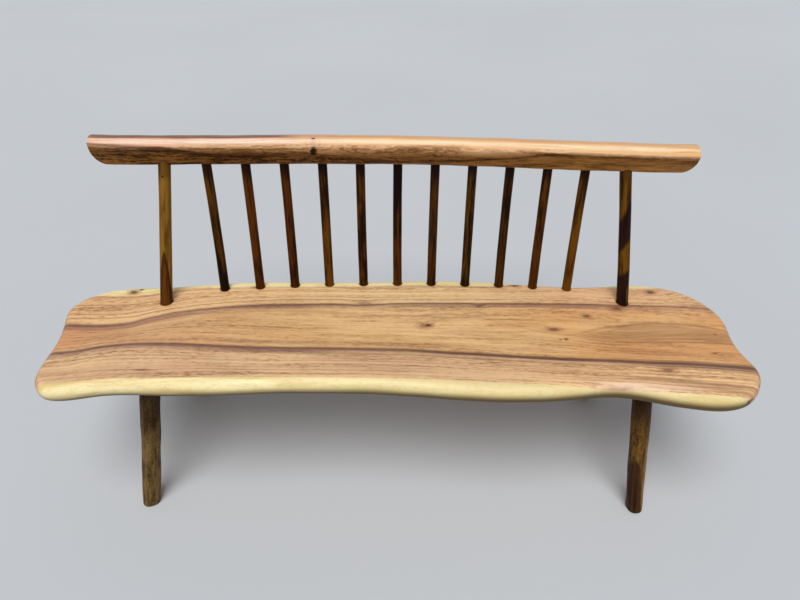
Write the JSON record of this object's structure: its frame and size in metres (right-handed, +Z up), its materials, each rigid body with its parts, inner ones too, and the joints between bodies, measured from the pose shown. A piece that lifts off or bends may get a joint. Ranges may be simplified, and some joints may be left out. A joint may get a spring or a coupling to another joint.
{
  "type": "bench",
  "caption": "Live-edge plank bench on splayed round legs, with a raked back of round sticks under a bowed log rail.",
  "frame": {"origin": "middle of the bench's overall box, on the floor", "axes": "+X along the seat to the right of someone who faces the bench, +Y from the seat's front edge to the back, +Z up"},
  "size_m": [1.7335, 0.5661, 0.838],
  "materials": {
    "seat_wood": "satin oiled hardwood plank, dark heart stripes, cream sapwood rim",
    "rail_wood": "satin oiled log, reddish and brown streaks",
    "stick_wood": "satin oiled dark heartwood sticks",
    "leg_wood": "satin oiled round billets, mottled brown"
  },
  "bodies": {
    "root": {"back_post_left": "stick_wood", "back_post_right": "stick_wood", "back_stick_01": "stick_wood", "back_stick_02": "stick_wood", "back_stick_03": "stick_wood", "back_stick_04": "stick_wood", "back_stick_05": "stick_wood", "back_stick_06": "stick_wood", "back_stick_07": "stick_wood", "back_stick_08": "stick_wood", "back_stick_09": "stick_wood", "back_stick_10": "stick_wood", "back_stick_11": "stick_wood", "leg_front_left": "leg_wood", "leg_front_right": "leg_wood", "leg_rear_left": "leg_wood", "leg_rear_right": "leg_wood", "seat_slab": "seat_wood", "top_rail": "rail_wood"}
  },
  "joints": []
}
